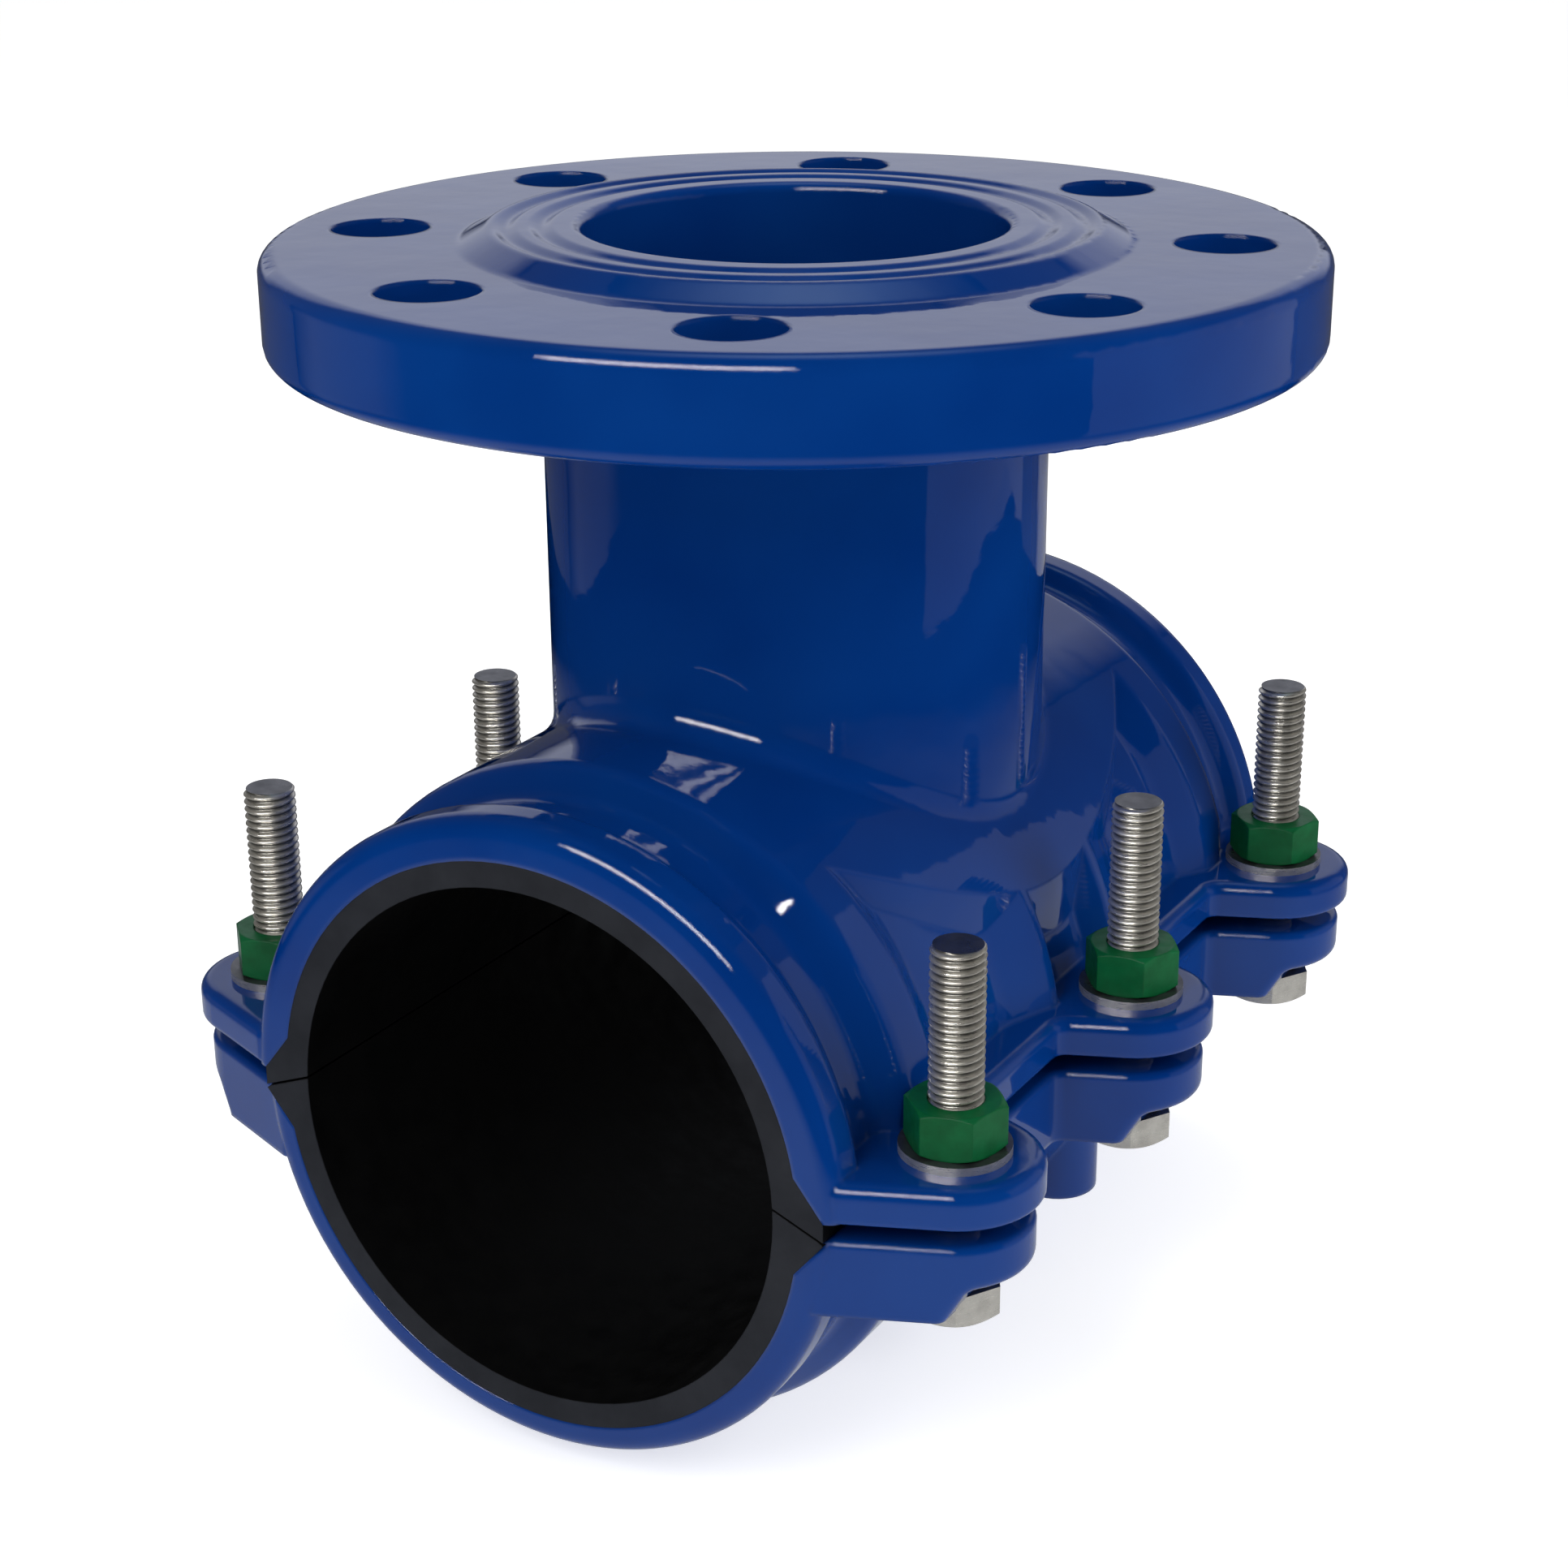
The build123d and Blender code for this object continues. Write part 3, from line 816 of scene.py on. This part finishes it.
@dataclass
class ThreadedBolts:
    """The six bolts, with rolled threads up the whole shank and chamfered hexagon heads."""

    across_flats: float = 16.0 * MM
    head_height: float = 6.4 * MM
    head_steps: int = 72
    turned_share: float = 0.93
    turned_angle: float = 30.0
    seat_share: float = 0.8
    thread_radius: float = 4.95 * MM
    root_radius: float = 4.12 * MM
    pitch: float = 1.5 * MM
    tip_chamfer: float = 0.5 * MM
    columns: int = 36
    rows_per_turn: int = 8

    def head_profile(self, turn: float) -> list[tuple[float, float]]:
        """Outline of the head at one angle, from the middle of its turned face to its seat.

        Args:
            turn: Angle round the head in radians.

        Returns:
            Radius and height of each ring.
        """
        half = self.across_flats / 2
        face_radius = self.turned_share * half
        inside = (turn % (math.pi / 3)) - math.pi / 6
        hex_radius = half / math.cos(inside)
        drop = (hex_radius - face_radius) * math.tan(math.radians(self.turned_angle))
        return [
            (face_radius, 0.0),
            (hex_radius, drop),
            (hex_radius, self.head_height),
            (self.thread_radius * self.seat_share, self.head_height),
        ]

    def head_mesh(self) -> bpy.types.Mesh:
        """One hexagon head with a turned chamfer below, centred on the Z axis.

        Returns:
            The head's mesh, with its bottom at z 0.
        """
        steps = self.head_steps
        turns = [2 * math.pi * step / steps for step in range(steps)]
        mesh = bmesh.new()
        rings: list[list[bmesh.types.BMVert]] = []
        for level in zip(*(self.head_profile(turn) for turn in turns)):
            rings.append([
                mesh.verts.new((radius * math.cos(turn), radius * math.sin(turn), z))
                for turn, (radius, z) in zip(turns, level)
            ])
        for lower, upper in zip(rings, rings[1:]):
            for i in range(steps):
                j = (i + 1) % steps
                mesh.faces.new((lower[i], lower[j], upper[j], upper[i]))
        mesh.faces.new(list(reversed(rings[0])))
        data = bpy.data.meshes.new("bolt_head")
        mesh.to_mesh(data)
        mesh.free()
        return data

    def inputs(self, finish: bpy.types.Material) -> dict[str, object]:
        """Values for the node tree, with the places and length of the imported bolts.

        Args:
            finish: The steel.

        Returns:
            The tree's named inputs.
        """
        low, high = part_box("bolt_4")
        far_low, far_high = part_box("bolt_6")
        length = high.z - low.z - self.head_height
        return {
            "Row X": (low.x + high.x) / 2,
            "Row Y": (far_low.y + far_high.y) / 2,
            "Head Bottom": low.z,
            "Head Height": self.head_height,
            "Length": length,
            "Thread Radius": self.thread_radius,
            "Root Radius": self.root_radius,
            "Pitch": self.pitch,
            "Chamfer": self.tip_chamfer,
            "Columns": self.columns,
            "Rows": round(self.rows_per_turn * length / self.pitch),
            "Finish": finish,
        }

    def build(self, finishes: Finishes) -> None:
        """Makes the six bolts as one piece on the lower body.

        Args:
            finishes: The shared finishes.
        """
        rough = bpy.data.objects.new("bolt_blank", self.head_mesh())
        bpy.context.scene.collection.objects.link(rough)
        modifier = rough.modifiers.new("thread", "NODES")
        modifier.node_group = BoltTree().tree
        values = self.inputs(finishes.by_slot[Slot.STEEL])
        for item in modifier.node_group.interface.items_tree:
            if item.in_out == "INPUT" and item.name in values:
                modifier[item.identifier] = values[item.name]
        graph = bpy.context.evaluated_depsgraph_get()
        data = bpy.data.meshes.new_from_object(rough.evaluated_get(graph))
        data.name = "threaded_bolts"
        piece = bpy.data.objects.new("threaded_bolts", data)
        bpy.context.scene.collection.objects.link(piece)
        bpy.data.objects.remove(rough)
        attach(piece, Body.LOWER.value)
        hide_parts(*[f"bolt_{number}" for number in FASTENERS])
        LOG.info("threaded_bolts: %d faces", len(data.polygons))


# Studio and camera

AIM = Vector((0.0, 0.0, 0.05))
CORNERS = ((-1, -1), (1, -1), (1, 1), (-1, 1))


def towards(azimuth: float, elevation: float) -> Vector:
    """Unit vector from the object towards a point of view.

    Args:
        azimuth: Degrees round from the front, to the right.
        elevation: Degrees up from the level.

    Returns:
        The unit vector.
    """
    a, e = math.radians(azimuth), math.radians(elevation)
    return Vector((math.sin(a) * math.cos(e), -math.cos(a) * math.cos(e), math.sin(e)))


def rightwards(azimuth: float) -> Vector:
    """Level unit vector to the right, as seen from a point of view.

    Args:
        azimuth: Degrees round from the front, to the right.

    Returns:
        The unit vector.
    """
    return Vector((math.cos(math.radians(azimuth)), math.sin(math.radians(azimuth)), 0.0))


def stage_card(name: str, corners: list[Vector], finish: bpy.types.Material) -> bpy.types.Object:
    """Makes one flat face of the studio, with a UV map from corner to corner.

    Args:
        name: The object's name.
        corners: Its four corners in order.
        finish: Its material.

    Returns:
        The card, which isn't part of the object.
    """
    data = bpy.data.meshes.new(name)
    data.from_pydata([tuple(corner) for corner in corners], [], [(0, 1, 2, 3)])
    for loop, (i, j) in zip(data.uv_layers.new(name="card").data, CORNERS):
        loop.uv = ((i + 1) / 2, (j + 1) / 2)
    data.materials.append(finish)
    card = bpy.data.objects.new(name, data)
    bpy.context.scene.collection.objects.link(card)
    card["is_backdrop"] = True
    return card


def keep_to_reflections(card: bpy.types.Object) -> None:
    """Hides a card from all but reflections.

    Args:
        card: The card.
    """
    card.visible_camera = card.visible_diffuse = card.visible_shadow = False


@dataclass
class Panel:
    """Rectangle at some distance from the object, square to its line of sight."""

    name: str
    azimuth: float
    elevation: float
    distance: float
    width: float
    height: float
    glare: float

    def outward(self) -> Vector:
        """Unit vector from the object to the panel."""
        return towards(self.azimuth, self.elevation)

    def middle(self) -> Vector:
        """Place of the panel's middle."""
        return AIM + self.outward() * self.distance


@dataclass
class SoftBox(Panel):
    """Soft light that is as bright as its glare on every part of its face."""

    reach: Reach

    def build(self) -> None:
        """Places the light and turns it to the object."""
        data = bpy.data.lights.new(self.name, "AREA")
        data.shape = "RECTANGLE"
        data.size, data.size_y = self.width, self.height
        data.energy = self.glare * math.pi * self.width * self.height
        lamp = bpy.data.objects.new(self.name, data)
        lamp.visible_camera = False
        lamp.visible_diffuse = self.reach is Reach.MATT
        lamp.visible_glossy = self.reach is Reach.GLOSS
        lamp.location = self.middle()
        lamp.rotation_mode = "QUATERNION"
        lamp.rotation_quaternion = self.outward().to_track_quat("Z", "Y")
        bpy.context.scene.collection.objects.link(lamp)


@dataclass
class GlowCard(Panel):
    """Card with soft edges that only reflections show."""

    fade: float
    tint: Tint = WHITE

    def material(self) -> bpy.types.Material:
        """Builds a glow that falls off towards the four edges of the card's own UV map.

        Returns:
            The material.
        """
        shader = Shader(self.name)
        place = shader.lay("ShaderNodeSeparateXYZ", {"Vector": shader.coords.outputs["UV"]})
        falls = []
        for axis in ("X", "Y"):
            across = shader.spread(place.outputs[axis], (0.0, 1.0), (-1.0, 1.0))
            away = shader.calc("ABSOLUTE", across)
            falls.append(shader.spread(away, (1.0 - self.fade, 1.0), (1.0, 0.0)))
        level = shader.calc("MULTIPLY", *falls)
        return shader.glow(self.tint, shader.spread(level, (0.0, 1.0), (0.0, self.glare)))

    def build(self) -> None:
        """Makes the card and turns it to the object."""
        side = rightwards(self.azimuth) * self.width / 2
        rise = self.outward().cross(side).normalized() * self.height / 2
        corners = [self.middle() + i * side + j * rise for i, j in CORNERS]
        keep_to_reflections(stage_card(self.name, corners, self.material()))


@dataclass
class Studio:
    """Pale floor, soft light and a bright surround behind the object."""

    floor_gap: float = 0.5 * MM
    floor_size: float = 14.0
    sheet_size: float = 1.0
    ambient: float = 0.50
    rear: Triple = (-0.47, 0.88, 0.0)
    rear_span: Span = (-0.2, 0.7)
    gloss_levels: Span = (0.0, 0.08)
    lights: tuple[SoftBox, ...] = (
        SoftBox("bank_low", 2, 30, 1.3, 1.05, 0.045, 30, Reach.GLOSS),
        SoftBox("bank_middle", 2, 34, 1.3, 1.15, 0.045, 36, Reach.GLOSS),
        SoftBox("bank_high", 2, 38, 1.3, 1.05, 0.045, 30, Reach.GLOSS),
        SoftBox("key_front", 0, 38, 1.3, 0.6, 0.6, 5.0, Reach.MATT),
        SoftBox("fill_right", 108, 25, 1.3, 0.8, 0.8, 3.4, Reach.MATT),
        SoftBox("overhead", 205, 77, 1.3, 0.50, 0.40, 3.0, Reach.MATT),
        SoftBox("wall_right", 118, -3, 0.6, 0.69, 0.75, 0.25, Reach.GLOSS),
    )
    cards: tuple[GlowCard, ...] = (
        GlowCard("card_above", 205, 77, 1.3, 1.10, 0.90, 1.7, 0.9, (0.60, 0.82, 1.0, 1.0)),
        GlowCard("card_behind", 210, 22, 1.6, 2.8, 1.15, 0.66, 0.35, (0.97, 1.0, 1.12, 1.0)),
        GlowCard("card_low_behind", 192, -22, 1.2, 1.0, 0.5, 0.36, 0.25),
        GlowCard("card_left", -75, -12, 1.2, 0.9, 0.8, 0.18, 0.5),
    )

    def ground_card(self, name: str, size: float, finish: bpy.types.Material) -> bpy.types.Object:
        """Lays a square just below the lowest point of the object.

        Args:
            name: The square's name.
            size: Length of its sides.
            finish: Its material.

        Returns:
            The square.
        """
        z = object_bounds()[0].z - self.floor_gap
        corners = [Vector((i * size / 2, j * size / 2, z)) for i, j in CORNERS]
        return stage_card(name, corners, finish)

    def ground(self) -> None:
        """Lays the floor, and the white sheet that reflections show in its place."""
        floor = self.ground_card("floor", self.floor_size, PaleFloor().material())
        floor.visible_glossy = False
        keep_to_reflections(self.ground_card("sheet", self.sheet_size, WhiteSheet().material()))

    def surround(self) -> None:
        """Lays a surround that is white to the camera and dim for reflections, more so in front."""
        world = bpy.data.worlds.new("surround")
        bpy.context.scene.world = world
        world.use_nodes = True
        sketch = NodeSketch(world.node_tree)
        sketch.tree.nodes.clear()
        outward = sketch.lay("ShaderNodeTexCoord").outputs["Generated"]
        inputs = {0: outward, 1: self.rear}
        behind = sketch.lay("ShaderNodeVectorMath", inputs, operation="DOT_PRODUCT")
        dim = sketch.spread(behind.outputs["Value"], self.rear_span, self.gloss_levels)
        seen, matt, gloss = (
            sketch.lay("ShaderNodeBackground", {"Color": WHITE, "Strength": level}).outputs[0]
            for level in (1.0, self.ambient, dim)
        )
        path = sketch.lay("ShaderNodeLightPath").outputs
        inputs = {"Fac": path["Is Diffuse Ray"], 1: gloss, 2: matt}
        unseen = sketch.lay("ShaderNodeMixShader", inputs).outputs["Shader"]
        inputs = {"Fac": path["Is Camera Ray"], 1: unseen, 2: seen}
        whole = sketch.lay("ShaderNodeMixShader", inputs).outputs["Shader"]
        sketch.lay("ShaderNodeOutputWorld", {"Surface": whole})

    def build(self) -> None:
        """Builds floor, surround, lights and cards."""
        self.ground()
        self.surround()
        for panel in (*self.lights, *self.cards):
            panel.build()
        view = bpy.context.scene.view_settings
        view.view_transform = "Standard"
        view.look = "None"
        LOG.info("studio: %d soft lights and %d cards", len(self.lights), len(self.cards))


@dataclass
class PhotoCamera:
    """Camera at the photograph's viewpoint."""

    azimuth: float = 30.28
    elevation: float = 21.31
    roll: float = -0.39
    distance: float = 617.27 * MM
    target: Triple = (-14.61 * MM, 19.47 * MM, 28.4 * MM)
    lens: float = 67.376
    sensor: float = 36.0
    clip: Span = (0.02, 50.0)

    def build(self) -> None:
        """Places the camera and makes it the scene's."""
        data = bpy.data.cameras.new("photo_camera")
        data.sensor_width = self.sensor
        data.lens = self.lens
        data.clip_start, data.clip_end = self.clip
        back = towards(self.azimuth, self.elevation)
        right = rightwards(self.azimuth)
        up = back.cross(right)
        roll = math.radians(self.roll)
        turned_right = math.cos(roll) * right + math.sin(roll) * up
        turned_up = -math.sin(roll) * right + math.cos(roll) * up
        camera = bpy.data.objects.new("photo_camera", data)
        turn = Matrix((turned_right, turned_up, back)).transposed().to_4x4()
        place = Vector(self.target) + back * self.distance
        camera.matrix_world = Matrix.Translation(place) @ turn
        bpy.context.scene.collection.objects.link(camera)
        bpy.context.scene.camera = camera


def main() -> None:
    """Builds the camera, studio and every sub-assembly in order."""
    logging.basicConfig(level=logging.INFO, format="%(message)s")
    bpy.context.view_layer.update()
    PhotoCamera().build()
    Studio().build()
    finishes = Finishes()
    for solids in (Castings(), Linings(), Nuts(), Washers()):
        solids.dress(finishes)
    ThreadedBolts().build(finishes)


if __name__ == "__main__":
    main()
